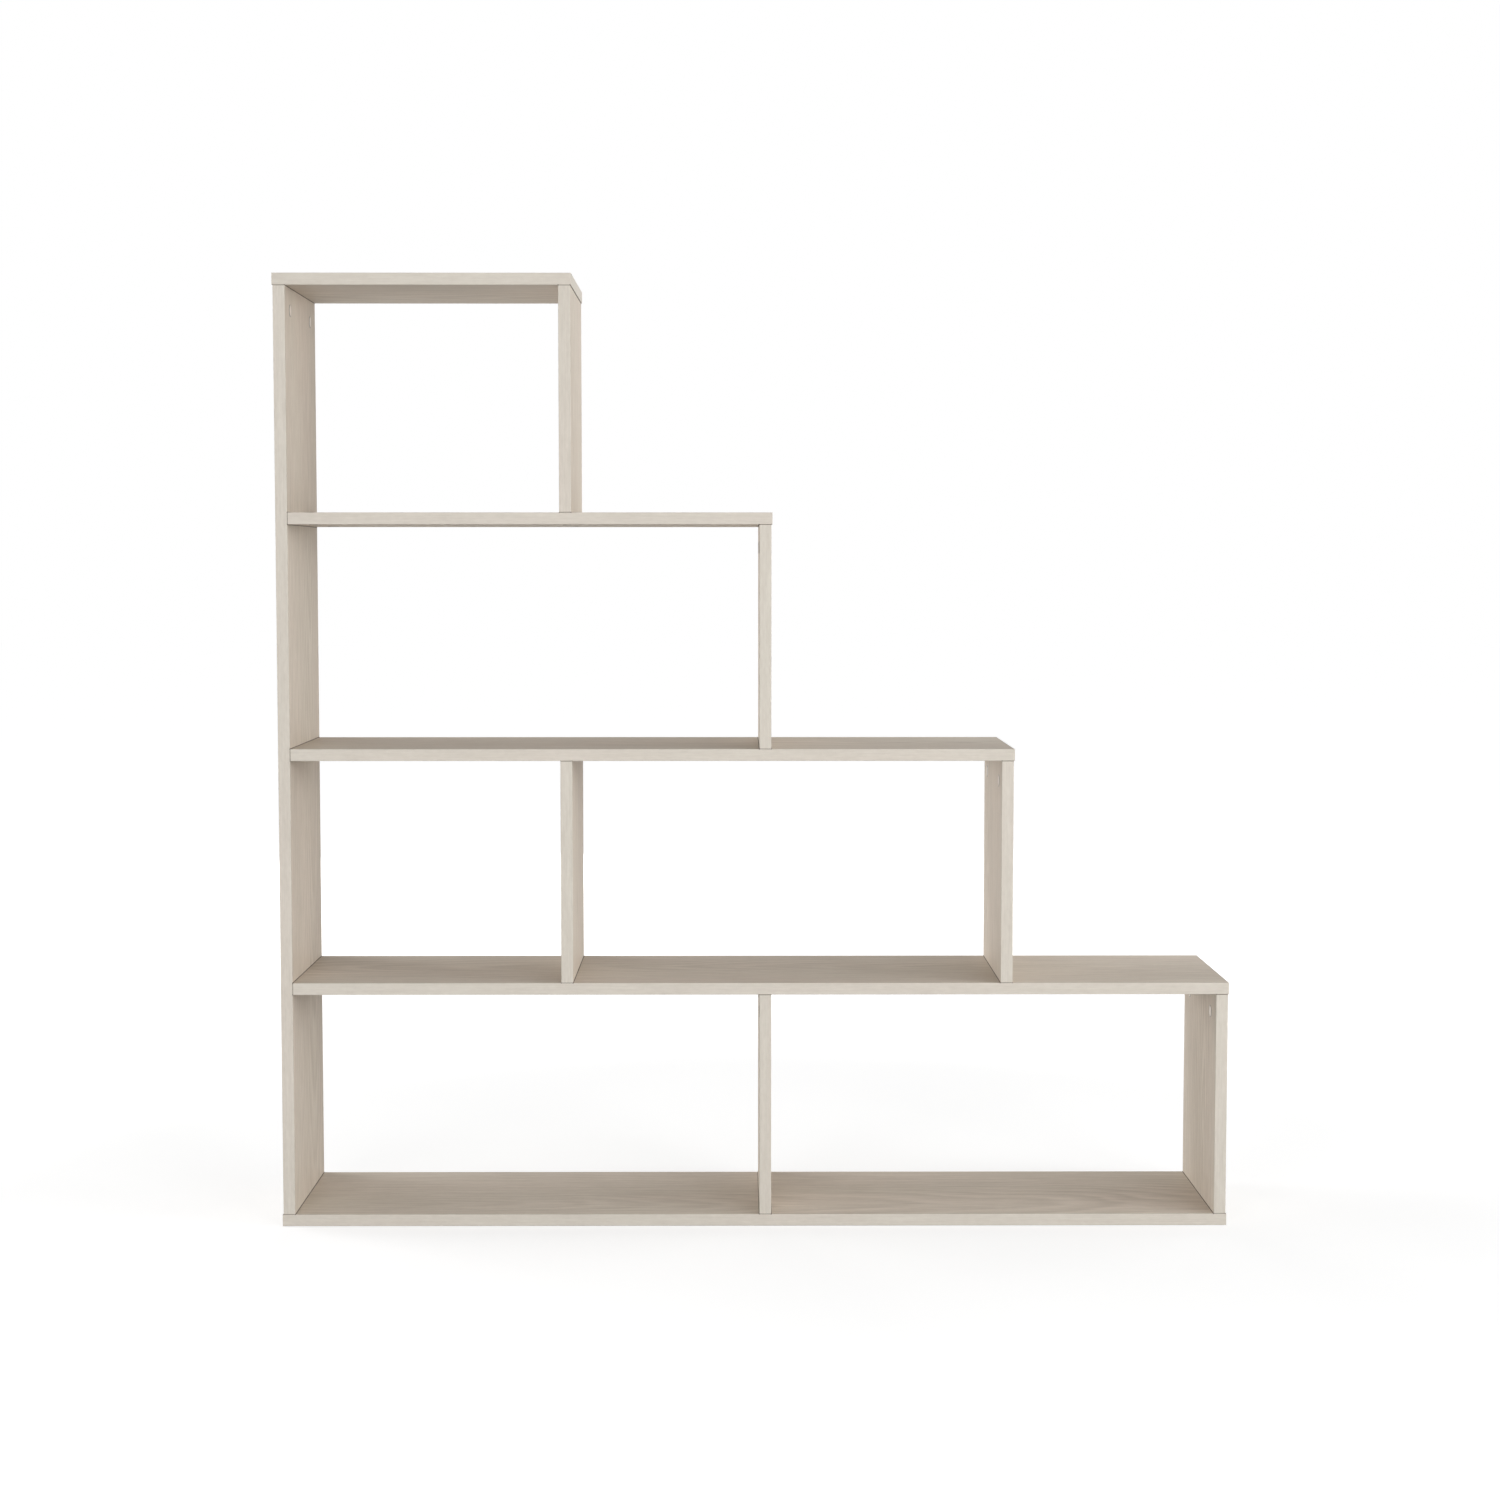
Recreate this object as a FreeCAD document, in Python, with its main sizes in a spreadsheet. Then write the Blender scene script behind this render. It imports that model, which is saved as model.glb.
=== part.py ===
import FreeCAD
import Part
import Sketcher
import os
import re

# Staircase bookcase: melamine-faced boards with glued edging, held by cam connectors, screws and dowels.
# The origin is on the floor under the middle of the base, +Z up. The front faces -Y and the steps fall to +X.

# Driving sizes in millimetres, each with what it measures
SIZES = {
    "board_thickness": (18, "every board"),
    "board_depth": (290, "front edge to back edge, edging included"),
    "tier_height": (340, "clear height between two shelves"),
    "top_bay_width": (410, "clear width of the top tier"),
    "second_tread": (302.5, "upright of the first tier to that of the second"),
    "third_tread": (368.5, "upright of the second tier to that of the third"),
    "fourth_tread": (330, "upright of the third tier to that of the fourth"),
    "end_overhang": (1.5, "shelf end past the outer face of an upright"),
    "edging_thickness": (1, "strip glued to an open edge"),
    "edging_flat": (0.5, "strip left square beside its bevelled edge"),
    "fitting_inset": (50, "front or back edge to the axis of a connector or screw"),
    "face_skin": (6, "board left under a blind hole in its face"),
    "hole_gap": (0.1, "clearance all round a fitting in its hole"),
    "hole_end_gap": (1, "clearance at the bottom of a blind hole"),
    "bolt_thread_diameter": (5, "cam bolt, end in the face of a board"),
    "bolt_shoulder": (0.5, "step from the thread of a cam bolt out to its shank"),
    "bolt_head_rim": (1, "step from the shank of a cam bolt out to its head"),
    "bolt_head_length": (3, "head of a cam bolt"),
    "cam_distance": (34, "board end to the axis of a cam lock"),
    "cam_room": (1.6, "chamber of a cam lock round the bolt head"),
    "cam_headroom": (0.3, "chamber of a cam lock above and below the bolt head"),
    "cam_wall": (1.9, "wall of a cam lock round its chamber"),
    "cam_floor": (0.6, "cam lock below its chamber"),
    "cam_throw": (0.5, "chamber off the axis of a cam lock, which draws the bolt in"),
    "cam_sink": (0.3, "cam lock below the face of its board"),
    "drive_length": (8, "screwdriver slot of a cam lock"),
    "drive_width": (1.8, "screwdriver slot of a cam lock"),
    "drive_depth": (2.5, "screwdriver slot of a cam lock"),
    "cap_lip": (1.5, "cover cap on the board all round its hole"),
    "cap_thickness": (0.4, "stick-on cover cap"),
    "cap_bevel": (0.25, "sloping edge of a cover cap, across"),
    "dowel_diameter": (8, "wooden dowel"),
    "dowel_length": (30, "wooden dowel"),
    "screw_core_diameter": (5, "screw, end in the foot of an upright"),
    "screw_shoulder": (1, "step from the core of a screw out to its shank"),
    "screw_head_rim": (1.5, "step from the shank of a screw out to its head"),
    "screw_head_length": (3, "head of a screw"),
    "screw_length": (50, "screw over all"),
    "screw_sink": (0.2, "screw head below the face of its board"),
    "screw_socket": (4, "hexagon socket of a screw across its flats"),
    "screw_socket_depth": (3, "hexagon socket of a screw"),
}

# Flats of each hidden fitting and of the hole round it, which a quarter turn lays on one another
FLATS = 8

# Flats round the edge of a cover cap, three for each one of a fitting
CAP_FLATS = 3 * FLATS

# Sizes and places that follow from the driving sizes
PLACES = {
    "tier_pitch": "tier_height + board_thickness",
    "half_board": "board_thickness / 2",
    "half_depth": "board_depth / 2",
    "treads_run": "second_tread + third_tread + fourth_tread",
    "overall_width": "top_bay_width + treads_run + 2 * (board_thickness + end_overhang)",
    "left_end_x": "-overall_width / 2",
    "side_x": "left_end_x + end_overhang",
    "side_inner_x": "side_x + board_thickness",
    "first_x": "side_inner_x + top_bay_width",
    "second_x": "first_x + second_tread",
    "third_x": "second_x + third_tread",
    "fourth_x": "third_x + fourth_tread",
    "step_end": "board_thickness + end_overhang",
    "fitting_y": "half_depth - fitting_inset",
    "core_y": "half_depth - edging_thickness",
    "edging_bevel": "edging_thickness - edging_flat",
    "face_hole_depth": "board_thickness - face_skin",
    "face_grip": "face_hole_depth - hole_end_gap",
    "thread_radius": "bolt_thread_diameter / 2",
    "shank_radius": "thread_radius + bolt_shoulder",
    "head_radius": "shank_radius + bolt_head_rim",
    "chamber_radius": "head_radius + cam_room",
    "cam_radius": "chamber_radius + cam_wall",
    "past_drum": "cam_radius + hole_gap",
    "cam_cap_radius": "past_drum + cap_lip",
    "chamber_height": "2 * (head_radius + cam_headroom)",
    "track_reach": "shank_radius + hole_gap",
    "chamber_bottom": "half_board + chamber_height / 2",
    "cam_bottom": "chamber_bottom + cam_floor",
    "chamber_inner_radius": f"chamber_radius * cos(180 / {FLATS})",
    "head_reach": "sqrt((chamber_inner_radius - hole_gap)^2 - head_radius^2) - cam_throw",
    "bolt_reach": "cam_distance - head_reach",
    "dowel_end_grip": "dowel_length - face_grip",
    "screw_core_radius": "screw_core_diameter / 2",
    "screw_shank_radius": "screw_core_radius + screw_shoulder",
    "screw_head_radius": "screw_shank_radius + screw_head_rim",
    "screw_cap_radius": "screw_head_radius + hole_gap + cap_lip",
    "screw_shoulder_z": "screw_sink + screw_head_length",
    "screw_end_grip": "screw_length + screw_sink - board_thickness",
}

# Each shelf: its left end, the upright under its right end, its underside and which of its ends are open
SHELVES = {
    "top_shelf": ("left_end_x", "first_x", "4 * tier_pitch", "both"),
    "second_shelf": ("side_inner_x", "second_x", "3 * tier_pitch", "right"),
    "third_shelf": ("side_inner_x", "third_x", "2 * tier_pitch", "right"),
    "fourth_shelf": ("side_inner_x", "fourth_x", "tier_pitch", "right"),
    "base_shelf": ("left_end_x", "fourth_x", "0", "both"),
}

# Each upright: its left face, the shelf it stands on and the shelf it carries
UPRIGHTS = {
    "tall_side": ("side_x", "base_shelf", "top_shelf"),
    "tier1_upright": ("first_x", "second_shelf", "top_shelf"),
    "tier2_upright": ("second_x", "third_shelf", "second_shelf"),
    "tier3_divider": ("first_x", "fourth_shelf", "third_shelf"),
    "tier3_upright": ("third_x", "fourth_shelf", "third_shelf"),
    "tier4_divider": ("second_x", "base_shelf", "fourth_shelf"),
    "tier4_upright": ("fourth_x", "base_shelf", "fourth_shelf"),
}

# Shelves whose left end is held against the inner face of the tall side
BRACKETED = ("second_shelf", "third_shelf", "fourth_shelf")

# Connectors and screws come in pairs, one near the front and one near the back
PAIR = ("-fitting_y", "fitting_y")

# A dowel sits at half the depth
MIDDLE = ("0",)

# Turns of a board or fitting: left lying as drawn, or with its top face to the left, to the right or down
LYING = FreeCAD.Rotation()
FACING_LEFT = FreeCAD.Rotation(FreeCAD.Vector(0, 1, 0), -90)
FACING_RIGHT = FreeCAD.Rotation(FreeCAD.Vector(1, 0, 1), 180)
FACING_DOWN = FreeCAD.Rotation(FreeCAD.Vector(0, 1, 0), 180)

# Turn of a bar that lays its length along X
ENDWISE = FreeCAD.Rotation(FreeCAD.Vector(0, 1, 0), 90)

doc = FreeCAD.newDocument("staircase_bookcase")
nodes = []


def qualified(formula):
    """The formula with each named size led by the sheet that holds it."""
    def lead(match):
        name = match.group()
        if name in SIZES:
            return f"Sizes.{name}"
        return f"Places.{name}" if name in PLACES else name
    return re.sub(r"[a-z]\w*", lead, formula)


def bind(thing, prop, formula):
    thing.setExpression(prop, qualified(formula))


def value(formula):
    return float(sizes.evalExpression(qualified(formula)))


def fill_sheets():
    """One sheet holds the driving sizes, the other what follows from them."""
    size_sheet = doc.addObject("Spreadsheet::Sheet", "Sizes")
    for row, (name, (size, note)) in enumerate(SIZES.items(), start=1):
        size_sheet.set(f"A{row}", note)
        size_sheet.set(f"B{row}", str(size))
        size_sheet.setAlias(f"B{row}", name)
    doc.recompute()
    place_sheet = doc.addObject("Spreadsheet::Sheet", "Places")
    for row, (name, formula) in enumerate(PLACES.items(), start=1):
        place_sheet.set(f"A{row}", "=" + qualified(formula))
        place_sheet.setAlias(f"A{row}", name)
        doc.recompute()
    return size_sheet


def place(thing, turn, x, y, z):
    thing.Placement = FreeCAD.Placement(FreeCAD.Vector(), turn)
    bind(thing, "Placement.Base.x", x)
    bind(thing, "Placement.Base.y", y)
    bind(thing, "Placement.Base.z", z)


def bar(name, radius, length, turn, x, y, z, sides=FLATS):
    """A straight bar with flats, from its foot at a place along its turned Z axis."""
    solid = doc.addObject("Part::Prism", name)
    solid.Polygon = sides
    bind(solid, "Circumradius", radius)
    bind(solid, "Height", length)
    place(solid, turn, x, y, z)
    return solid


def block(name, low, high):
    """A box from its lowest corner to its highest."""
    solid = doc.addObject("Part::Box", name)
    for side, start, end in zip(("Length", "Width", "Height"), low, high):
        bind(solid, side, f"{end} - ({start})")
    place(solid, LYING, *low)
    return solid


def fuse(name, pieces):
    solid = doc.addObject("Part::MultiFuse", name)
    solid.Shapes = pieces
    return solid


def cut(name, base, tool):
    solid = doc.addObject("Part::Cut", name)
    solid.Base = base
    solid.Tool = tool
    return solid


def stepped(name, steps):
    """A fitting along its Z axis, made of steps that each give a start, a length and a radius."""
    pieces = []
    for start, length, radius in steps:
        pieces.append(bar(f"{name}_step", radius, length, LYING, "0", "0", start))
    return fuse(name, pieces)


def sketch_on(body, plane):
    """An empty sketch on one of the body's own planes."""
    sketch = body.newObject("Sketcher::SketchObject", f"{body.Name}_sketch")
    support = next(feature for feature in body.Origin.OriginFeatures if feature.Role == plane)
    sketch.AttachmentSupport = [(support, "")]
    sketch.MapMode = "FlatFace"
    return sketch


def hold_point(sketch, line, end, x, y):
    """Ties one point of a sketch to two formulas, or to an axis where the formula is nought."""
    for kind, axis, formula in (("DistanceX", -2, x), ("DistanceY", -1, y)):
        if formula == "0":
            sketch.addConstraint(Sketcher.Constraint("PointOnObject", line, end, axis))
            continue
        tie = sketch.addConstraint(Sketcher.Constraint(kind, -1, 1, line, end, value(formula)))
        bind(sketch, f"Constraints[{tie}]", formula)


def draw_outline(sketch, corners):
    """A closed outline of straight lines from corner to corner."""
    first = sketch.GeometryCount
    count = len(corners)
    points = [FreeCAD.Vector(value(x), value(y), 0) for x, y in corners]
    for index in range(count):
        sketch.addGeometry(Part.LineSegment(points[index], points[(index + 1) % count]))
    for index, (x, y) in enumerate(corners):
        following = first + (index + 1) % count
        sketch.addConstraint(Sketcher.Constraint("Coincident", first + index, 2, following, 1))
        hold_point(sketch, first + index, 1, x, y)


def draw_strip(sketch, inner, outer, slope_start):
    """Section of an edging strip, glued on at its inner side and bevelled at its outer side."""
    corners = [
        (inner, "0"),
        (slope_start, "0"),
        (outer, "edging_bevel"),
        (outer, "board_thickness - edging_bevel"),
        (slope_start, "board_thickness"),
        (inner, "board_thickness"),
    ]
    draw_outline(sketch, corners)


def pad(body, sketch, length):
    feature = body.newObject("PartDesign::Pad", f"{body.Name}_pad")
    feature.Profile = sketch
    bind(feature, "Length", length)
    return feature


class Board:
    """A board in its own axes: length along X from its near end, depth about Y and thickness up Z."""

    def __init__(self, name, length, open_ends):
        self.name = name
        self.length = length
        self.open_ends = open_ends
        self.holes = []

    def drill_face(self, face, stations, rows, radius, depth):
        """Holes of one size into the top or the underside, at stations along the board and rows across it."""
        foot = "0" if face == "under" else f"board_thickness - ({depth})"
        for x in stations:
            for y in rows:
                self.holes.append(bar(f"{self.name}_hole", radius, depth, LYING, x, y, foot))

    def drill_end(self, end, rows, radius, depth):
        """Holes of one size along the board, halfway up its near or far end."""
        foot = "0" if end == "near" else f"{self.length} - ({depth})"
        for y in rows:
            self.holes.append(bar(f"{self.name}_hole", radius, depth, ENDWISE, foot, y, "half_board"))

    def stand(self, turn, x, z):
        """Puts the drilled board in its place, and its edging with it."""
        near = "edging_thickness" if self.open_ends == "both" else "0"
        far = f"{self.length} - edging_thickness" if self.open_ends else self.length
        blank = block(f"{self.name}_blank", (near, "-core_y", "0"), (far, "core_y", "board_thickness"))
        board = cut(self.name, blank, fuse(f"{self.name}_holes", self.holes))
        nodes.append(board)
        strips = [self.long_strips()]
        if self.open_ends:
            strips.append(self.end_strips())
        for piece in [board, *strips]:
            place(piece, turn, x, "0", z)
        group(f"{self.name}_edging", strips)

    def long_strips(self):
        """The strips along the front and back edges, which run the whole length of the board."""
        body = doc.addObject("PartDesign::Body", f"{self.name}_long_strips")
        sketch = sketch_on(body, "YZ_Plane")
        draw_strip(sketch, "-core_y", "-half_depth", "-half_depth + edging_bevel")
        draw_strip(sketch, "core_y", "half_depth", "half_depth - edging_bevel")
        pad(body, sketch, self.length)
        return body

    def end_strips(self):
        """The strips across the open ends, between the long ones."""
        body = doc.addObject("PartDesign::Body", f"{self.name}_end_strips")
        sketch = sketch_on(body, "XZ_Plane")
        draw_strip(sketch, f"{self.length} - edging_thickness", self.length, f"{self.length} - edging_bevel")
        if self.open_ends == "both":
            draw_strip(sketch, "edging_thickness", "0", "edging_bevel")
        pad(body, sketch, "2 * core_y").Midplane = True
        return body


def group(name, members):
    """A node made of several separate solids."""
    node = doc.addObject("Part::Compound", name)
    node.Links = members
    nodes.append(node)


def copies(name, fitting, spots):
    """A node with one copy of a fitting at each spot, which is a turn and a place."""
    links = []
    for index, (turn, x, y, z) in enumerate(spots, start=1):
        link = doc.addObject("App::Link", f"{name}_{index}")
        link.LinkedObject = fitting
        link.LinkTransform = True
        place(link, turn, x, y, z)
        links.append(link)
    group(name, links)


def bored_end(board, end):
    """Holes in a board end for the heads of two cam bolts, and for the dowel between them."""
    board.drill_end(end, PAIR, "head_radius + hole_gap", "cam_distance")
    board.drill_end(end, MIDDLE, "dowel_diameter / 2 + hole_gap", "dowel_end_grip + hole_end_gap")


def bolted_face(board, face, stations):
    """Holes in a board face for the threads of cam bolts and for dowels, at stations along the board."""
    board.drill_face(face, stations, PAIR, "thread_radius + hole_gap", "face_hole_depth")
    board.drill_face(face, stations, MIDDLE, "dowel_diameter / 2 + hole_gap", "face_hole_depth")


def cam_pockets(board, face, station):
    board.drill_face(face, [station], PAIR, "cam_radius + hole_gap", "cam_bottom + hole_gap")


def screw_holes(board, stations):
    """Holes right through a shelf from below, wider where the heads of the screws sit."""
    board.drill_face("under", stations, PAIR, "screw_shank_radius + hole_gap", "board_thickness")
    board.drill_face("under", stations, PAIR, "screw_head_radius + hole_gap", "screw_shoulder_z")


def middle_of(upright):
    return f"({UPRIGHTS[upright][0]} + half_board)"


def make_shelf(name):
    left, last_upright, z, open_ends = SHELVES[name]
    shelf = Board(name, f"({last_upright} + step_end - {left})", open_ends)
    carriers = [f"{middle_of(upright)} - {left}" for upright in UPRIGHTS if UPRIGHTS[upright][2] == name]
    standing = [f"{middle_of(upright)} - {left}" for upright in UPRIGHTS if UPRIGHTS[upright][1] == name]
    bolted_face(shelf, "under", carriers)
    screw_holes(shelf, standing)
    if name in BRACKETED:
        cam_pockets(shelf, "under", "cam_distance")
        bored_end(shelf, "near")
    shelf.stand(LYING, left, z)


def make_upright(name):
    x, foot_shelf, head_shelf = UPRIGHTS[name]
    foot_z = f"({SHELVES[foot_shelf][2]} + board_thickness)"
    length = f"({SHELVES[head_shelf][2]} - {foot_z})"
    upright = Board(name, length, "")
    cam_pockets(upright, "top", f"{length} - cam_distance")
    bored_end(upright, "far")
    upright.drill_end("near", PAIR, "screw_core_radius + hole_gap", "screw_end_grip + hole_end_gap")
    if name == "tall_side":
        bolted_face(upright, "top", [f"{SHELVES[shelf][2]} + half_board - {foot_z}" for shelf in BRACKETED])
        upright.stand(FACING_RIGHT, x, foot_z)
    else:
        upright.stand(FACING_LEFT, f"{x} + board_thickness", foot_z)


def make_cam_lock():
    """A drum under the face of its board at Z = 0. The bolt lies along +X and its head goes in from -X."""
    drum = bar("cam_drum", "cam_radius", "cam_bottom - cam_sink", LYING, "0", "0", "-cam_bottom")
    chamber_foot = ("-cam_throw", "0", "-chamber_bottom")
    chamber = bar("cam_chamber", "chamber_radius", "chamber_height", LYING, *chamber_foot)
    mouth = bar("cam_mouth", "head_radius + hole_gap", "past_drum", ENDWISE, "-past_drum", "0", "-half_board")
    track = block(
        "cam_track",
        ("-past_drum", "-track_reach", "-half_board - track_reach"),
        ("past_drum", "past_drum", "-half_board + track_reach"),
    )
    slot = block(
        "cam_slot",
        ("-drive_length / 2", "-drive_width / 2", "-cam_sink - drive_depth"),
        ("drive_length / 2", "drive_width / 2", "-cam_sink"),
    )
    return cut("cam_lock", drum, fuse("cam_hollows", [chamber, mouth, track, slot]))


def make_cap(name, radius):
    """A cover cap stuck on the face of a board at Z = 0, lofted from its rim up its sloping edge."""
    outlines = []
    for reach, z in ((radius, "0"), (f"{radius} - cap_bevel", "cap_thickness")):
        outline = doc.addObject("Part::RegularPolygon", f"{name}_outline")
        outline.Polygon = CAP_FLATS
        bind(outline, "Circumradius", reach)
        place(outline, LYING, "0", "0", z)
        outlines.append(outline)
    cap = doc.addObject("Part::Loft", name)
    cap.Sections = outlines
    cap.Solid = True
    cap.Ruled = True
    return cap


def make_screw():
    """A screw that goes up from the underside of a shelf at Z = 0, with a hexagon socket in its head."""
    steps = [
        ("screw_sink", "screw_head_length", "screw_head_radius"),
        ("screw_shoulder_z", "board_thickness - screw_shoulder_z", "screw_shank_radius"),
        ("board_thickness", "screw_end_grip", "screw_core_radius"),
    ]
    corner_radius = "screw_socket / sqrt(3)"
    socket = bar("screw_socket", corner_radius, "screw_socket_depth", LYING, "0", "0", "screw_sink", sides=6)
    return cut("screw", stepped("screw_shape", steps), socket)


def make_bolt():
    """A cam bolt: thread up from the joint at Z = 0, shank and head down from it."""
    steps = [
        ("0", "face_grip", "thread_radius"),
        ("-bolt_reach", "bolt_reach", "shank_radius"),
        ("-bolt_reach - bolt_head_length", "bolt_head_length", "head_radius"),
    ]
    return stepped("cam_bolt", steps)


def make_dowel():
    """A dowel across the joint at Z = 0."""
    return bar("dowel", "dowel_diameter / 2", "dowel_length", LYING, "0", "0", "-dowel_end_grip")


def cam_spots(upright):
    """Places of the two cam locks near the head of an upright, and of the caps over them."""
    x, _, head_shelf = UPRIGHTS[upright]
    z = f"{SHELVES[head_shelf][2]} - cam_distance"
    if upright == "tall_side":
        return [(FACING_RIGHT, "side_inner_x", y, z) for y in PAIR]
    return [(FACING_LEFT, x, y, z) for y in PAIR]


def shelf_cam_spots(shelf):
    """Places of the two cam locks under the left end of a shelf."""
    return [(FACING_DOWN, "side_inner_x + cam_distance", y, SHELVES[shelf][2]) for y in PAIR]


def joint_spots(shelf, rows):
    """Places where fittings cross from a shelf into what carries it, in rows from front to back."""
    z = SHELVES[shelf][2]
    carriers = [upright for upright in UPRIGHTS if UPRIGHTS[upright][2] == shelf]
    spots = [(LYING, middle_of(upright), y, z) for upright in carriers for y in rows]
    if shelf in BRACKETED:
        spots += [(FACING_LEFT, "side_inner_x", y, f"{z} + half_board") for y in rows]
    return spots


def fit_connectors():
    """Cam locks, bolts and dowels are grouped by the shelf that they hold, caps by the board they are on."""
    lock, bolt, dowel = make_cam_lock(), make_bolt(), make_dowel()
    cap = make_cap("cam_cap", "cam_cap_radius")
    for shelf in list(SHELVES)[:-1]:
        carriers = [upright for upright in UPRIGHTS if UPRIGHTS[upright][2] == shelf]
        locks = [spot for upright in carriers for spot in cam_spots(upright)]
        if shelf in BRACKETED:
            locks += shelf_cam_spots(shelf)
            copies(f"{shelf}_cam_caps", cap, shelf_cam_spots(shelf))
        copies(f"{shelf}_cam_locks", lock, locks)
        copies(f"{shelf}_cam_bolts", bolt, joint_spots(shelf, PAIR))
        copies(f"{shelf}_dowels", dowel, joint_spots(shelf, MIDDLE))
    for upright in UPRIGHTS:
        copies(f"{upright}_cam_caps", cap, cam_spots(upright))


def fit_screws():
    """Screws up through each shelf into the uprights that stand on it, with caps except next to the floor."""
    screw = make_screw()
    cap = make_cap("screw_cap", "screw_cap_radius")
    for shelf in list(SHELVES)[1:]:
        z = SHELVES[shelf][2]
        standing = [upright for upright in UPRIGHTS if UPRIGHTS[upright][1] == shelf]
        heads = [(middle_of(upright), y, z) for upright in standing for y in PAIR]
        copies(f"{shelf}_screws", screw, [(LYING, *head) for head in heads])
        if shelf != "base_shelf":
            copies(f"{shelf}_screw_caps", cap, [(FACING_DOWN, *head) for head in heads])


def check_document():
    """Stops before anything is written if a feature failed or a cut missed its solid."""
    for thing in doc.Objects:
        if {"Invalid", "Error"} & set(thing.State):
            raise RuntimeError(f"{thing.Label} failed: {thing.State}")
        if thing.TypeId == "Part::Cut" and thing.Shape.Volume >= thing.Base.Shape.Volume:
            raise RuntimeError(f"{thing.Label} is not cut")
    for node in nodes:
        if node.Shape.isNull() or not node.Shape.isValid():
            raise RuntimeError(f"{node.Label} has no sound shape")


sizes = fill_sheets()
for shelf_name in SHELVES:
    make_shelf(shelf_name)
for upright_name in UPRIGHTS:
    make_upright(upright_name)
fit_connectors()
fit_screws()
doc.recompute()
check_document()
os.makedirs("parts", exist_ok=True)
for node in nodes:
    node.Shape.exportStep(f"parts/{node.Label}.step")
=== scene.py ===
import math

import bmesh
import bpy
from mathutils import Matrix, Vector


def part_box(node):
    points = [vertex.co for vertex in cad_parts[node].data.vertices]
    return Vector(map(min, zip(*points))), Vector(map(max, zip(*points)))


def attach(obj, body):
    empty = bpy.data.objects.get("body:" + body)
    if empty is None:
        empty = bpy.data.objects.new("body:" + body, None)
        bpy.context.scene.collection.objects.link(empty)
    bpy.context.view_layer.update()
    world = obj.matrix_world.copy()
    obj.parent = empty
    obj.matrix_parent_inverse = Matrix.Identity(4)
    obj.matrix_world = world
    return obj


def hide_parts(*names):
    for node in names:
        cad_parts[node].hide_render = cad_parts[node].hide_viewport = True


# Staircase bookcase in greige wood-grain melamine, lit by a soft studio and seen from the front.
# Sizes are in metres. Colours are linear.

X, Y, Z = range(3)
WHITE = (1, 1, 1, 1)

# Wood print of the boards and of their edging: its colours, and how strong each layer of the grain is
BOARD_PRINT = {
    "dark": (0.531, 0.462, 0.383, 1),
    "rosy": (0.760, 0.667, 0.577, 1),
    "green": (0.740, 0.674, 0.577, 1),
    "grain": {"rings": 0.35, "drift": 0.7, "fibres": 0.8, "flecks": 0.7, "specks": 0.4, "pores": 0.5},
}
EDGING_PRINT = {
    "dark": (0.586, 0.533, 0.464, 1),
    "rosy": (0.785, 0.721, 0.645, 1),
    "green": (0.768, 0.729, 0.647, 1),
    "grain": {"rings": 0.07, "drift": 0.14, "fibres": 0.25, "flecks": 0.25, "specks": 0.5, "pores": 0.5},
}
TINT_CONTRAST = 2.5

# Layers of the grain: cycles per metre along the board and across it, detail, and roughness of the detail
GRAIN = {
    "drift": ((1.2, 5, 5), 2, 0.5),
    "tint": ((2.1, 11, 11), 2, 0.5),
    "fibres": ((5, 260, 260), 3, 0.6),
    "flecks": ((16, 130, 130), 2, 0.5),
    "specks": ((90, 300, 300), 2, 0.5),
    "pores": ((22, 900, 900), 2, 0.5),
    "skin": ((700, 700, 700), 2, 0.5),
}

# The next board's grain is cut from this much further on in the pattern
GRAIN_SHIFT = Vector((0.83, 0.37, 0.59))

# Growth rings: how far apart they are, and how much of a ring is a plain wave and how much its overtone
RING_SPACING = 0.011
RING_WAVE = 0.7
RING_OVERTONE = 0.3

# How far the rings sway slowly and waver quickly, and the noise for that and for how strongly they show
RING_SWAY = 0.09
RING_WAVER = 0.015
RING_NOISE = {
    "sway": ((1.1, 3, 3), 2, 0.5),
    "waver": ((4, 22, 22), 3, 0.5),
    "strength": ((2.5, 9, 9), 2, 0.5),
}

# Pith: its depth under the face, how steeply it dips, how far across a board it may lie and how it moves on
# from board to board, and the height at which it has that depth in an upright
PITH_DEPTH = 0.06
PITH_DIP = 0.07
PITH_REACH = 0.16
PITH_STEP = 0.618
PITH_HEIGHT = 0.7

# Matt resin skin over the print: roughness, gloss, and how layers of the grain change its sheen and relief
RESIN_ROUGHNESS = 0.6
RESIN_GLOSS = 0.15
RESIN_SHEEN = {"fibres": 0.16, "skin": 0.08}
RESIN_RELIEF = {"fibres": 0.6, "pores": 0.25, "skin": 0.15}
RESIN_RELIEF_DEPTH = 0.00025

# Dark hairlines: round the cut end of a board, a dark seam deepened with painted shade of the joint; wider
# painted shade in the corner on the face that another board stands against; and fainter glue lines along the
# glued
# edging: how far each reaches to either side, its soft edge, and how strong the glue line is
JOINT_AND_SHADE_LINE = (0.16, 0.13, 0.10, 1)
SEAM_AND_SHADE_WIDTH = 0.0005
CORNER_SHADE_WIDTH = 0.0007
GLUE_LINE_WIDTH = 0.0003
LINE_EDGE = 0.0004
GLUE_LINE_DEPTH = 0.75

# Edging: how round its outer edges are, in how many flats, and the mark of the strips across shelf ends
EDGE_ROUND = 0.0008
EDGE_FLATS = 4
END_STRIP = "end_strip"

# Cover caps: sides of the disc, share of its height that is rounded, flats of that round, and the rim with
# its
# painted shade: how far in over the top the shade fades, and the mark that carries it
CAP_SIDES = 64
CAP_ROUND = 0.6
CAP_RIM_FLATS = 4
CAP_SHADE_REACH = 0.0011
SHADED_RIM_MARK = "rim"
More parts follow.
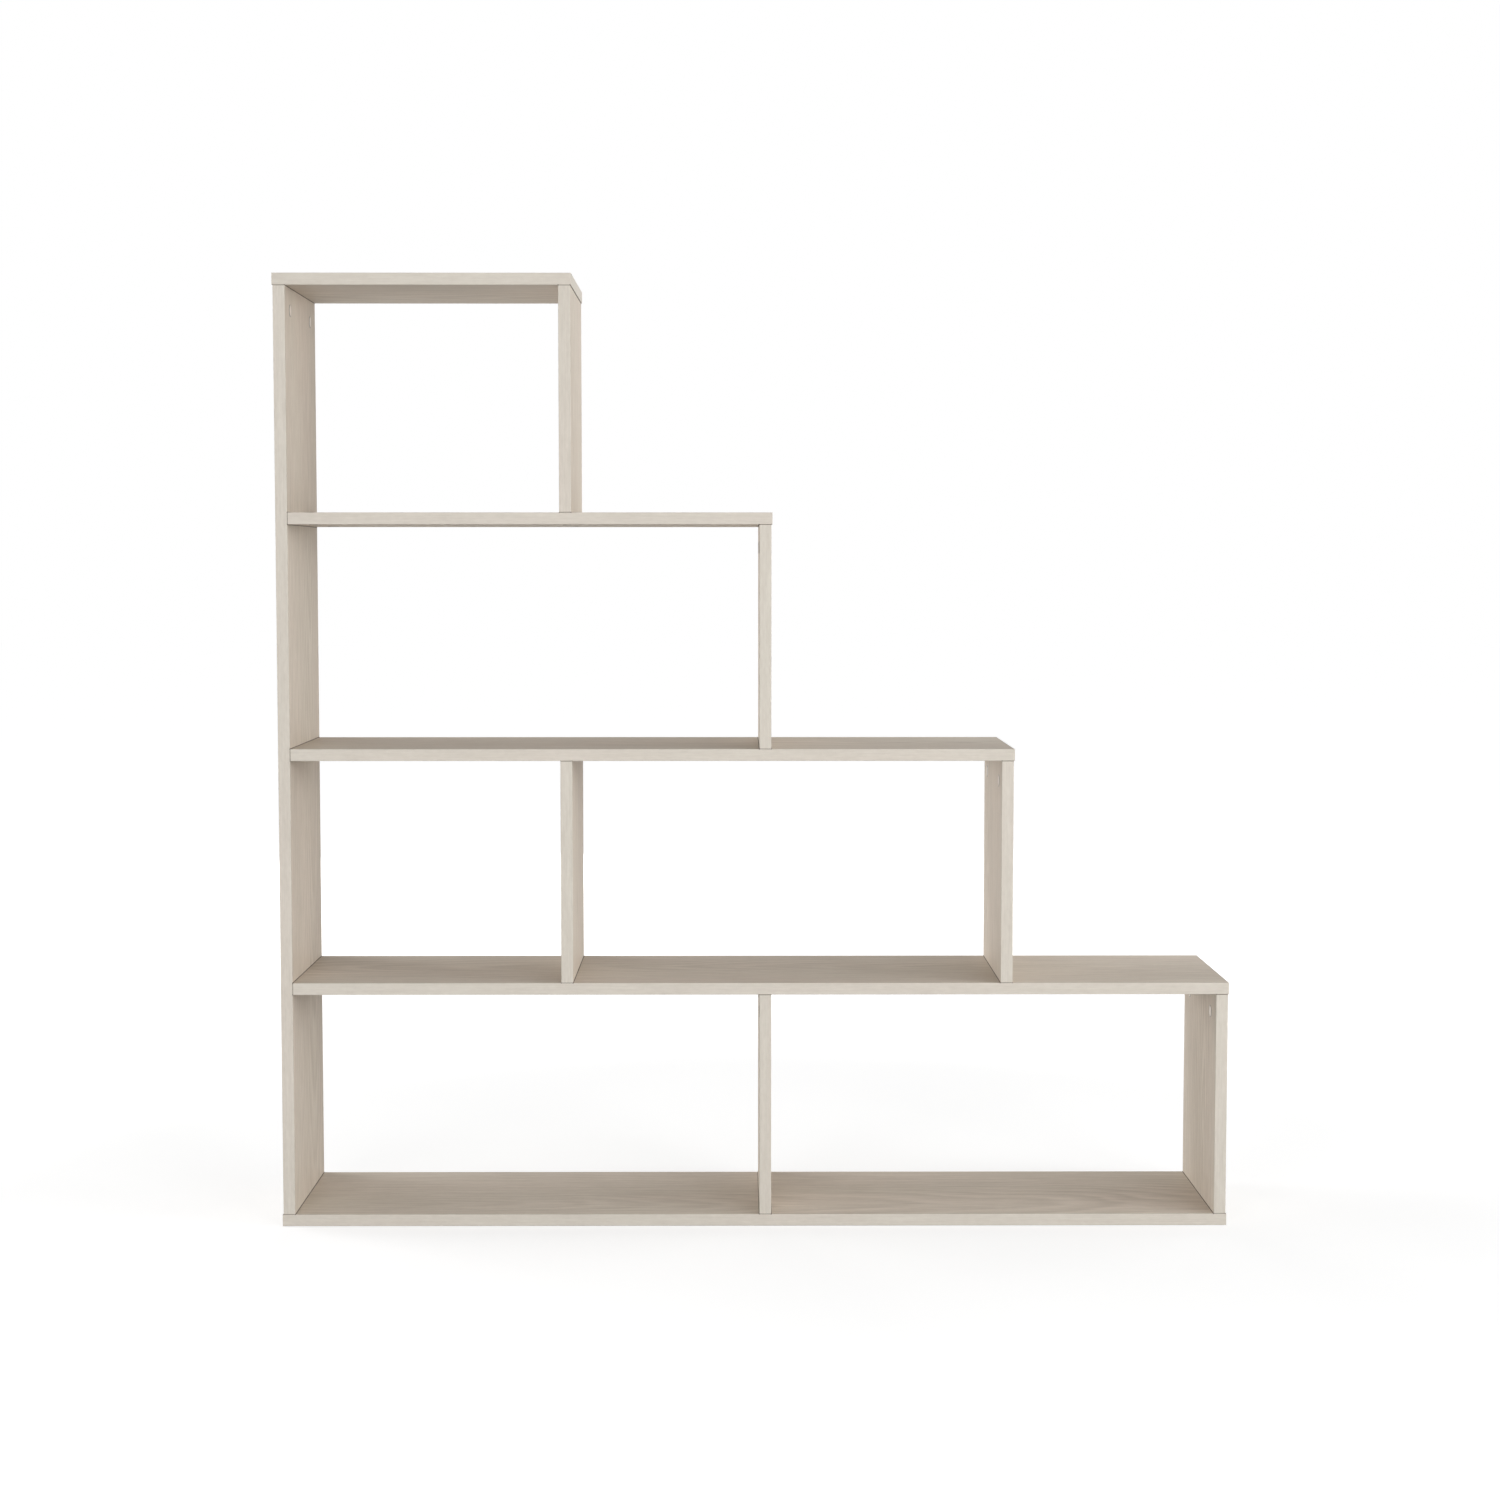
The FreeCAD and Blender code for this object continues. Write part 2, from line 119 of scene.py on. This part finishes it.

# Plastic of the caps: colours, clouds and pits, roughness, gloss, and how the pits change sheen and relief.
# The film is lighter than the boards, partly as a painted glint, and the near-black rim colour is painted
# shade.
CAP_PALE = (0.78, 0.69, 0.59, 1)
CAP_DARK = (0.71, 0.62, 0.53, 1)
CAP_RIM_SHADE = (0.05, 0.042, 0.035, 1)
CAP_CLOUDS = ((90, 90, 90), 2, 0.5)
CAP_PITS = ((2200, 2200, 2200), 1, 0.5)
CAP_ROUGHNESS = 0.36
CAP_SHEEN = 0.2
CAP_GLOSS = 0.4
CAP_PIT_DEPTH = 0.00006

# Plated steel and cast zinc: colours, clouds and scratches, roughness, how the clouds change the sheen, and
# how deep the scratches are
STEEL_PALE = (0.62, 0.62, 0.63, 1)
STEEL_DARK = (0.46, 0.46, 0.48, 1)
ZINC_PALE = (0.55, 0.55, 0.56, 1)
ZINC_DARK = (0.40, 0.40, 0.42, 1)
METAL_CLOUDS = ((160, 160, 160), 3, 0.5)
METAL_SCRATCHES = ((300, 300, 4000), 2, 0.5)
METAL_ROUGHNESS = 0.3
METAL_SHEEN = 0.2
SCRATCH_DEPTH = 0.00004

# Beech of the dowels: colours and flecks, roughness, and how the flecks change its sheen and relief
BEECH_PALE = (0.66, 0.47, 0.29, 1)
BEECH_DARK = (0.50, 0.33, 0.19, 1)
BEECH_FLECKS = ((500, 500, 90), 3, 0.5)
BEECH_ROUGHNESS = 0.6
BEECH_SHEEN = 0.2
BEECH_FLECK_DEPTH = 0.0001

# Faces closer than the first are in one plane, and corners closer than the second are one
SAME_PLACE = 0.0004
MERGE = 0.000001

# Camera: focal length on a 36 mm sensor, place, and how far it is tipped down and turned to the right
LENS_MM = 64.38
SENSOR_MM = 36
CAMERA_PLACE = (-0.0268, -4.2072, 1.0116)
CAMERA_DOWN = math.radians(3.928)
CAMERA_RIGHT = math.radians(0.272)

# Studio: light from all round, and softboxes with their places and watts. One makes no glare on the shelves.
ROOM_LIGHT = 0.165
SOFTBOX_AIM = (0, 0, 0.75)
SOFTBOX_SIZE = (2.0, 1.5)
SOFTBOXES = {
    "right_softbox": ((3.9, -2.2, 1.9), 50),
    "front_right_softbox": ((2.6, -4.6, 1.6), 83),
    "front_left_softbox": ((-2.0, -4.9, 1.0), 101),
    "left_back_softbox": ((-3.7, 2.8, 0.8), 60),
    "right_back_softbox": ((3.7, 2.8, 0.8), 40),
    "back_softbox": ((-0.6, 5.2, 1.0), 84),
    "high_right_softbox": ((3.2, -0.6, 3.2), 34),
    "high_left_softbox": ((-3.2, 0.6, 3.2), 56),
}
DULL_SOFTBOX = "back_softbox"

# Floor: its size, how far it lies below the bookcase, how much light it throws back on it, and how much of
# the light on the floor is seen. Its glow grows between two distances, because the lamps light it nearby.
# Far away, the glow and the light of the room make white.
FLOOR_SIZE = 60
FLOOR_DROP = 0.0005
FLOOR_BOUNCE = 0.42
FLOOR_SHADOW = 0.5
NEAR_GLOW = 0.61
FAR_GLOW = 1 - FLOOR_SHADOW * ROOM_LIGHT
NEAR_END = 1.2
FAR_START = 2.6


class Wire:
    """An output of a node, which plain arithmetic turns into Math nodes."""

    def __init__(self, nodes, socket):
        self.nodes = nodes
        self.socket = socket

    def maths(self, operation, *terms):
        return self.nodes.add("ShaderNodeMath", {"operation": operation}, dict(enumerate(terms)))

    def __add__(self, other):
        return self.maths("ADD", self, other)

    def __radd__(self, other):
        return self.maths("ADD", other, self)

    def __sub__(self, other):
        return self.maths("SUBTRACT", self, other)

    def __rsub__(self, other):
        return self.maths("SUBTRACT", other, self)

    def __mul__(self, other):
        return self.maths("MULTIPLY", self, other)

    def __rmul__(self, other):
        return self.maths("MULTIPLY", other, self)

    def sine(self):
        return self.maths("SINE", self)

    def root(self):
        return self.maths("SQRT", self)

    def absolute(self):
        return self.maths("ABSOLUTE", self)

    def clamped(self):
        return self.nodes.add("ShaderNodeClamp", {}, {"Value": self})


class Nodes:
    """The node tree of a material or of the world."""

    def __init__(self, owner):
        owner.use_nodes = True
        self.tree = owner.node_tree
        self.tree.nodes.clear()

    def add(self, kind, settings, sockets, output=0):
        """Adds a node with its settings, then sets or links its inputs, and gives one of its outputs."""
        node = self.tree.nodes.new(kind)
        for name, setting in settings.items():
            setattr(node, name, setting)
        for name, content in sockets.items():
            socket = self.find(node.inputs, name)
            if isinstance(content, Wire):
                self.tree.links.new(content.socket, socket)
            else:
                socket.default_value = content
        if not node.outputs:
            return None
        return Wire(self, self.find(node.outputs, output))

    @staticmethod
    def find(sockets, name):
        """A socket by its number or its name, among those in use."""
        in_use = [socket for socket in sockets if socket.enabled]
        if isinstance(name, int):
            return in_use[name]
        return next(socket for socket in in_use if socket.name == name)

    def noise(self, vector, stretch, detail, roughness):
        """Noise that is stretched by a different scale along each axis."""
        scaled = self.add("ShaderNodeVectorMath", {"operation": "MULTIPLY"}, {0: vector, 1: stretch})
        return self.add(
            "ShaderNodeTexNoise",
            {"noise_dimensions": "3D"},
            {"Vector": scaled, "Scale": 1, "Detail": detail, "Roughness": roughness},
        )

    def blend(self, factor, first, second):
        """A colour between two others."""
        return self.add("ShaderNodeMix", {"data_type": "RGBA"}, {"Factor": factor, "A": first, "B": second})

    def bump(self, height, distance):
        return self.add("ShaderNodeBump", {}, {"Strength": 1, "Distance": distance, "Height": height})

    def surface(self, sockets):
        """A Principled surface as the material's result."""
        shader = self.add("ShaderNodeBsdfPrincipled", {}, sockets)
        self.add("ShaderNodeOutputMaterial", {}, {"Surface": shader})


def new_material(name):
    material = bpy.data.materials.new(name)
    return material, Nodes(material)


def object_place(nodes):
    return nodes.add("ShaderNodeTexCoord", {}, {}, "Object")


def along_axis(nodes, vector, axis):
    return nodes.add("ShaderNodeSeparateXYZ", {}, {0: vector}, axis)


def coordinate(nodes, axis):
    return along_axis(nodes, object_place(nodes), axis)


def marked(nodes, mark):
    """How far a corner of the piece is marked, from 0 to 1."""
    return nodes.add("ShaderNodeAttribute", {"attribute_name": mark}, {}, "Fac")


def grain_place(nodes, has_end_strips):
    """Object coordinates, with X and Y changed over on the strips across the ends of a shelf."""
    place = object_place(nodes)
    if not has_end_strips:
        return place
    changed = {X: coordinate(nodes, Y), Y: coordinate(nodes, X), Z: coordinate(nodes, Z)}
    turned = nodes.add("ShaderNodeCombineXYZ", {}, changed)
    places = {"Factor": marked(nodes, END_STRIP), "A": place, "B": turned}
    return nodes.add("ShaderNodeMix", {"data_type": "VECTOR"}, places)


def grain_coordinates(nodes, place, upright, number):
    """Coordinates turned so that the grain runs along X, and moved on for each board."""
    turn = (0, math.pi / 2, 0) if upright else (0, 0, 0)
    moved = {"Vector": place, "Rotation": turn, "Location": GRAIN_SHIFT * number}
    return nodes.add("ShaderNodeMapping", {}, moved)


def growth_rings(nodes, place, along, upright, number):
    """Crown-cut figure: swaying rings round a pith that dips away under the face of the board."""
    noise = {name: nodes.noise(along, *form) for name, form in RING_NOISE.items()}
    sway = (noise["sway"] - 0.5) * RING_SWAY
    waver = (noise["waver"] - 0.5) * RING_WAVER
    pith_place = (number * PITH_STEP % 1 - 0.5) * PITH_REACH
    dip = PITH_DIP * (-1) ** number
    length = along_axis(nodes, place, Z) - PITH_HEIGHT if upright else along_axis(nodes, place, X)
    across = along_axis(nodes, place, Y) - pith_place + sway
    depth = PITH_DEPTH + length * dip + waver + sway
    turn = (across * across + depth * depth).root() * (math.tau / RING_SPACING)
    rings = turn.sine() * RING_WAVE + (turn * 2).sine() * RING_OVERTONE
    return rings * noise["strength"]


def layered(layers, strengths):
    """Layers of a pattern, each as strong as it is given, added up."""
    return sum(layers[name] * strength for name, strength in strengths.items())


def hairlines(nodes, places, width):
    """1 on each of some planes, given as axis and place, falling off to 0 on both sides."""
    lines = []
    for axis, place in places:
        past_line = ((coordinate(nodes, axis) - place).absolute() - width) * (1 / LINE_EDGE)
        lines.append((1 - past_line).clamped())
    return sum(lines).clamped()


def facing(nodes, axis, side):
    """1 on the faces that look along an axis, or back along it, and 0 on the faces beside them."""
    normal = nodes.add("ShaderNodeNewGeometry", {}, {}, "True Normal")
    return (along_axis(nodes, normal, axis) * side).clamped()


def wood_print(name, upright, number, lines, look, has_end_strips=False):
    """Printed wood grain under a matt resin skin, with dark hairlines along its joints: glue lines, seams
    deepened with painted shade, and painted shade in the corners where the board meets others.
    """
    material, nodes = new_material(name)
    place = grain_place(nodes, has_end_strips)
    along = grain_coordinates(nodes, place, upright, number)
    layers = {layer: nodes.noise(along, *form) - 0.5 for layer, form in GRAIN.items()}
    layers["rings"] = growth_rings(nodes, place, along, upright, number)
    tint = (0.5 + layers["tint"] * TINT_CONTRAST).clamped()
    tone = (0.5 + layered(layers, look["grain"])).clamped()
    wood = nodes.blend(tone, look["dark"], nodes.blend(tint, look["green"], look["rosy"]))
    if lines.glued_edges:
        glue = hairlines(nodes, lines.glued_edges, GLUE_LINE_WIDTH) * GLUE_LINE_DEPTH
        wood = nodes.blend(glue, wood, JOINT_AND_SHADE_LINE)
    # Dark seam round the cut ends, deepened with painted shade of the joint
    if lines.cut_ends:
        wood = nodes.blend(hairlines(nodes, lines.cut_ends, SEAM_AND_SHADE_WIDTH), wood, JOINT_AND_SHADE_LINE)
    # Painted shade in the corners where other boards stand against a face
    for (axis, side), places in lines.corner_shades.items():
        corner_shade = hairlines(nodes, places, CORNER_SHADE_WIDTH) * facing(nodes, axis, side)
        wood = nodes.blend(corner_shade, wood, JOINT_AND_SHADE_LINE)
    nodes.surface({
        "Base Color": wood,
        "Roughness": RESIN_ROUGHNESS + layered(layers, RESIN_SHEEN),
        "Specular IOR Level": RESIN_GLOSS,
        "Normal": nodes.bump(layered(layers, RESIN_RELIEF), RESIN_RELIEF_DEPTH),
    })
    return material


def cap_plastic():
    """Plastic film near the colour of the board but lighter, partly as a painted glint, with a fine grained
    surface and painted shade on its rim.
    """
    material, nodes = new_material("cap_plastic")
    place = object_place(nodes)
    film = nodes.blend(nodes.noise(place, *CAP_CLOUDS), CAP_DARK, CAP_PALE)
    pits = nodes.noise(place, *CAP_PITS)
    nodes.surface({
        # The rim turns nearly black: painted shade round the cap
        "Base Color": nodes.blend(marked(nodes, SHADED_RIM_MARK), film, CAP_RIM_SHADE),
        "Roughness": CAP_ROUGHNESS + (pits - 0.5) * CAP_SHEEN,
        "Specular IOR Level": CAP_GLOSS,
        "Normal": nodes.bump(pits, CAP_PIT_DEPTH),
    })
    return material


def plated_metal(name, pale, dark):
    """Plated or die-cast metal with a cloudy, slightly worn surface."""
    material, nodes = new_material(name)
    place = object_place(nodes)
    clouds = nodes.noise(place, *METAL_CLOUDS)
    scratches = nodes.noise(place, *METAL_SCRATCHES)
    nodes.surface({
        "Base Color": nodes.blend(clouds, dark, pale),
        "Metallic": 1,
        "Roughness": METAL_ROUGHNESS + clouds * METAL_SHEEN,
        "Normal": nodes.bump(scratches, SCRATCH_DEPTH),
    })
    return material


def beech():
    """Bare beech of the dowels, with short flecks."""
    material, nodes = new_material("beech")
    flecks = nodes.noise(object_place(nodes), *BEECH_FLECKS)
    nodes.surface({
        "Base Color": nodes.blend(flecks, BEECH_DARK, BEECH_PALE),
        "Roughness": BEECH_ROUGHNESS + (flecks - 0.5) * BEECH_SHEEN,
        "Normal": nodes.bump(flecks, BEECH_FLECK_DEPTH),
    })
    return material


def dress(node, material):
    """Gives a part of the frame its finish."""
    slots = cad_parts[node].data.materials
    slots.clear()
    slots.append(material)


def new_piece(name, mesh, material, stands_for):
    """A finished piece that stays with the bookcase and replaces the parts of the frame it stands for."""
    data = bpy.data.meshes.new(name)
    mesh.normal_update()
    mesh.to_mesh(data)
    mesh.free()
    data.materials.append(material)
    piece = bpy.data.objects.new(name, data)
    bpy.context.scene.collection.objects.link(piece)
    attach(piece, "root")
    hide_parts(*stands_for)


def same_place(first, second):
    return abs(first - second) < SAME_PLACE


def mark_layer(mesh, mark):
    """The numbers that mark corners of a mesh for its finish."""
    return mesh.verts.layers.float.get(mark) or mesh.verts.layers.float.new(mark)


def add_block(mesh, low, high):
    """A box between two corners."""
    size = high - low
    place = Matrix.Translation((low + high) / 2) @ Matrix.Diagonal((*size, 1))
    return bmesh.ops.create_cube(mesh, size=1, matrix=place)["verts"]


def add_strip(mesh, low, high, axis, side, open_ends=()):
    """A strip of edging with the edges of its outer face rounded, except where it runs into a board."""
    end_strip = mark_layer(mesh, END_STRIP)
    corners = add_block(mesh, low, high)
    for corner in corners:
        corner[end_strip] = 1 if axis == X else 0
    outer = high[axis] if side > 0 else low[axis]
    length = max(range(3), key=lambda index: high[index] - low[index])
    edges = dict.fromkeys(edge for corner in corners for edge in corner.link_edges)
    rounded = []
    for edge in edges:
        first, second = (corner.co for corner in edge.verts)
        on_outer_face = same_place(first[axis], outer) and same_place(second[axis], outer)
        runs_along = not same_place(first[length], second[length])
        at_open_end = any(same_place(first[length], end) for end in open_ends)
        if on_outer_face and (runs_along or at_open_end):
            rounded.append(edge)
    bmesh.ops.bevel(
        mesh,
        geom=rounded,
        offset=EDGE_ROUND,
        affect="EDGES",
        segments=EDGE_FLATS,
        profile=0.5,
        material=-1,
    )


def make_edging(board, material):
    """Rounded strips along the open edges of a board."""
    node = f"{board}_edging"
    low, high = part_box(node)
    core_low, core_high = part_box(board)
    both_ends = ((core_low.x, low.x), (core_high.x, high.x))
    covered = [(core, end) for core, end in both_ends if not same_place(core, end)]
    open_ends = [end for core, end in covered]
    mesh = bmesh.new()
    add_strip(mesh, low, Vector((high.x, core_low.y, high.z)), Y, -1, open_ends)
    add_strip(mesh, Vector((low.x, core_high.y, low.z)), high, Y, 1, open_ends)
    for core, end in covered:
        strip_low = Vector((min(core, end), core_low.y, low.z))
        strip_high = Vector((max(core, end), core_high.y, high.z))
        add_strip(mesh, strip_low, strip_high, X, end - core)
    new_piece(f"{board}_rounded_edging", mesh, material, [node])


def cap_profile(radius, height):
    """Half the section of a cap: distance from its axis, height, and 1 where the rim with its painted shade
    is.
    """
    edge = height * CAP_ROUND
    profile = [(0, 0, 1), (radius, 0, 1)]
    for step in range(CAP_RIM_FLATS + 1):
        turn = math.pi / 2 * step / CAP_RIM_FLATS
        reach = radius - edge + edge * math.cos(turn)
        profile.append((reach, height - edge + edge * math.sin(turn), 1))
    return [*profile, (radius - CAP_SHADE_REACH, height, 0), (0, height, 0)]


def add_cap(mesh, centre, outward, radius, height):
    """A round cap stuck on a face, turned from its profile, with the rim marked for its painted shade."""
    rim = mark_layer(mesh, SHADED_RIM_MARK)
    across = outward.orthogonal().normalized()
    corners = []
    for reach, rise, mark in cap_profile(radius, height):
        corner = mesh.verts.new(centre + across * reach + outward * rise)
        corner[rim] = mark
        corners.append(corner)
    edges = [mesh.edges.new(pair) for pair in zip(corners, corners[1:])]
    bmesh.ops.spin(
        mesh,
        geom=corners + edges,
        cent=centre,
        axis=outward,
        angle=math.tau,
        steps=CAP_SIDES,
        use_merge=True,
    )


def close_caps(mesh):
    """Joins up what was turned and makes its faces look outward."""
    bmesh.ops.remove_doubles(mesh, verts=mesh.verts, dist=MERGE)
    bmesh.ops.recalc_face_normals(mesh, faces=mesh.faces)


def make_cam_caps(board, material):
    """The two round caps over the cam locks of a board, on the face that they are stuck to."""
    node = f"{board}_cam_caps"
    low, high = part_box(node)
    size = high - low
    height, diameter, length = sorted(size)
    normal = list(size).index(height)
    board_low, board_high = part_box(board)
    outward = Vector((0, 0, 0))
    outward[normal] = 1 if low[normal] + high[normal] > board_low[normal] + board_high[normal] else -1
    middle = (low + high) / 2 - outward * height / 2
    reach = Vector((0, (length - diameter) / 2, 0))
    mesh = bmesh.new()
    for centre in (middle - reach, middle + reach):
        add_cap(mesh, centre, outward, diameter / 2, height)
    close_caps(mesh)
    new_piece(f"{board}_round_caps", mesh, material, [node])


def make_screw_caps(shelf, boards, material):
    """Small caps under a shelf over the screws that hold the feet of the uprights on it."""
    node = f"{shelf}_screw_caps"
    low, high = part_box(node)
    feet = [(foot.x + head.x) / 2 for foot, head in map(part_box, standing_on(shelf, boards))]
    radius = min(feet) - low.x
    reach = (high.y - low.y) / 2 - radius
    mesh = bmesh.new()
    for x in feet:
        for y in (-reach, reach):
            add_cap(mesh, Vector((x, y, high.z)), Vector((0, 0, -1)), radius, high.z - low.z)
    close_caps(mesh)
    new_piece(f"{shelf}_round_screw_caps", mesh, material, [node])


def is_upright(board):
    return not board.endswith("_shelf")


def standing_on(shelf, boards):
    """The uprights whose feet are on a shelf."""
    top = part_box(shelf)[1].z
    uprights = [board for board in boards if is_upright(board)]
    return [upright for upright in uprights if same_place(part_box(upright)[0].z, top)]


def carrying(shelf, boards):
    """The uprights whose heads are against the underside of a shelf."""
    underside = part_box(shelf)[0].z
    uprights = [board for board in boards if is_upright(board)]
    return [upright for upright in uprights if same_place(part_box(upright)[1].z, underside)]


def held_against(upright, boards):
    """The shelves whose left ends are against the right face of an upright. Only the tall side has any."""
    low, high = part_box(upright)
    shelves = [board for board in boards if not is_upright(board)]
    ends = [shelf for shelf in shelves if same_place(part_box(shelf)[0].x, high.x)]
    return [shelf for shelf in ends if low.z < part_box(shelf)[0].z < high.z]


class JointAndShadeLines:
    """Where hairlines run on a board, as axis and place: glue lines along its glued edging, seams deepened
    with painted shade round its cut ends, and painted corner shade on each face, given as axis and side,
    where other boards meet it."""

    def __init__(self, board, boards):
        low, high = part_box(board)
        self.glued_edges = [(Y, low.y), (Y, high.y)]
        self.cut_ends = []
        self.corner_shades = {}
        if is_upright(board):
            self.cut_ends += [(Z, low.z), (Z, high.z)]
            self.meet((X, 1), Z, held_against(board, boards))
            return
        edging_low, edging_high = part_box(f"{board}_edging")
        for end, edging_end in ((low.x, edging_low.x), (high.x, edging_high.x)):
            lines = self.cut_ends if same_place(end, edging_end) else self.glued_edges
            lines.append((X, end))
        self.meet((Z, 1), X, standing_on(board, boards))
        self.meet((Z, -1), X, carrying(board, boards))

    def meet(self, face, axis, others):
        """Painted corner shade on a face, along both sides of the boards that meet it."""
        if others:
            self.corner_shades[face] = [(axis, corner[axis]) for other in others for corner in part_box(other)]


def dress_boards(boards):
    """Every board and its edging, with its own cut of the grain, and hairlines and painted shade along its
    joints.
    """
    for number, board in enumerate(boards):
        upright = is_upright(board)
        lines = JointAndShadeLines(board, boards)
        dress(board, wood_print(f"{board}_print", upright, number, lines, BOARD_PRINT))
        # The glue line shows on the board alone
        lines.glued_edges = []
        edging = wood_print(f"{board}_edging_print", upright, number, lines, EDGING_PRINT, not upright)
        dress(f"{board}_edging", edging)
        make_edging(board, edging)


def dress_fittings(names, boards):
    """Caps in the colour of the boards, and the metal and beech inside the joints."""
    caps = cap_plastic()
    steel = plated_metal("plated_steel", STEEL_PALE, STEEL_DARK)
    zinc = plated_metal("cast_zinc", ZINC_PALE, ZINC_DARK)
    finishes = {
        "_cam_locks": zinc,
        "_cam_bolts": steel,
        "_screws": steel,
        "_dowels": beech(),
        "_caps": caps,
    }
    for name in names:
        for ending, material in finishes.items():
            if name.endswith(ending):
                dress(name, material)
    for board in boards:
        if f"{board}_cam_caps" in names:
            make_cam_caps(board, caps)
        if f"{board}_screw_caps" in names:
            make_screw_caps(board, boards, caps)


def seen_directly(nodes):
    """1 for rays from the camera, or by way of a reflection or of glass."""
    rays = ("Is Camera Ray", "Is Glossy Ray", "Is Transmission Ray")
    return sum(nodes.add("ShaderNodeLightPath", {}, {}, ray) for ray in rays).clamped()


def floor_white():
    """White that lights the bookcase from below and shows only a faint shadow."""
    material, nodes = new_material("floor_white")
    bounce = nodes.add("ShaderNodeBsdfDiffuse", {}, {"Color": (FLOOR_BOUNCE,) * 3 + (1,)})
    shadow = nodes.add("ShaderNodeBsdfDiffuse", {}, {"Color": (FLOOR_SHADOW,) * 3 + (1,)})
    away = nodes.add("ShaderNodeVectorMath", {"operation": "LENGTH"}, {0: object_place(nodes)})
    far = ((away - NEAR_END) * (1 / (FAR_START - NEAR_END))).clamped()
    near_glow = nodes.add("ShaderNodeEmission", {}, {"Color": WHITE, "Strength": NEAR_GLOW})
    far_glow = nodes.add("ShaderNodeEmission", {}, {"Color": WHITE, "Strength": FAR_GLOW})
    glow = nodes.add("ShaderNodeMixShader", {}, {0: far, 1: near_glow, 2: far_glow})
    shown = nodes.add("ShaderNodeAddShader", {}, {0: shadow, 1: glow})
    mixed = nodes.add("ShaderNodeMixShader", {}, {0: seen_directly(nodes), 1: bounce, 2: shown})
    nodes.add("ShaderNodeOutputMaterial", {}, {"Surface": mixed})
    return material


def make_floor():
    """A plain floor, a hair below the base shelf."""
    mesh = bmesh.new()
    bmesh.ops.create_grid(mesh, x_segments=1, y_segments=1, size=FLOOR_SIZE / 2)
    bmesh.ops.translate(mesh, vec=(0, 0, -FLOOR_DROP), verts=mesh.verts)
    data = bpy.data.meshes.new("floor")
    mesh.to_mesh(data)
    mesh.free()
    data.materials.append(floor_white())
    floor = bpy.data.objects.new("floor", data)
    bpy.context.scene.collection.objects.link(floor)


def light_room():
    """Even light from all round, with a white background where it is seen."""
    world = bpy.data.worlds.new("studio")
    bpy.context.scene.world = world
    nodes = Nodes(world)
    light = nodes.add("ShaderNodeBackground", {}, {"Color": WHITE, "Strength": ROOM_LIGHT})
    shown = nodes.add("ShaderNodeBackground", {}, {"Color": WHITE, "Strength": 1})
    mixed = nodes.add("ShaderNodeMixShader", {}, {0: seen_directly(nodes), 1: light, 2: shown})
    nodes.add("ShaderNodeOutputWorld", {}, {"Surface": mixed})


def add_softboxes():
    """Broad softboxes in front of the bookcase, beside it, behind it and high up, all turned to it."""
    for name, (place, power) in SOFTBOXES.items():
        lamp = bpy.data.lights.new(name, "AREA")
        lamp.shape = "RECTANGLE"
        lamp.size, lamp.size_y = SOFTBOX_SIZE
        lamp.energy = power
        softbox = bpy.data.objects.new(name, lamp)
        softbox.location = place
        aim = Vector(SOFTBOX_AIM) - Vector(place)
        softbox.rotation_euler = aim.to_track_quat("-Z", "Y").to_euler()
        softbox.visible_camera = False
        softbox.visible_glossy = name != DULL_SOFTBOX
        bpy.context.scene.collection.objects.link(softbox)


def add_camera():
    """The view of the photograph: straight on, from a little above half the height."""
    lens = bpy.data.cameras.new("camera")
    lens.sensor_width = SENSOR_MM
    lens.lens = LENS_MM
    lens.clip_end = FLOOR_SIZE
    camera = bpy.data.objects.new("camera", lens)
    camera.location = CAMERA_PLACE
    camera.rotation_euler = (math.pi / 2 - CAMERA_DOWN, 0, -CAMERA_RIGHT)
    bpy.context.scene.collection.objects.link(camera)
    bpy.context.scene.camera = camera


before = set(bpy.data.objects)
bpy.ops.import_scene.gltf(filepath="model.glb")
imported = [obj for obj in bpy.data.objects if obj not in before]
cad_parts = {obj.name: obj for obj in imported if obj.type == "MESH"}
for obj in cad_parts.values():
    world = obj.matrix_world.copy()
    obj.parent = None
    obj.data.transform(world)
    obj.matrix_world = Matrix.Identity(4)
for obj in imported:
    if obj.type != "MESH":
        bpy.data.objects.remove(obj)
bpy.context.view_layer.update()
bpy.context.scene.view_settings.view_transform = "Standard"
names = list(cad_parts)
boards = [name for name in names if f"{name}_edging" in names]
dress_boards(boards)
dress_fittings(names, boards)
make_floor()
light_room()
add_softboxes()
add_camera()
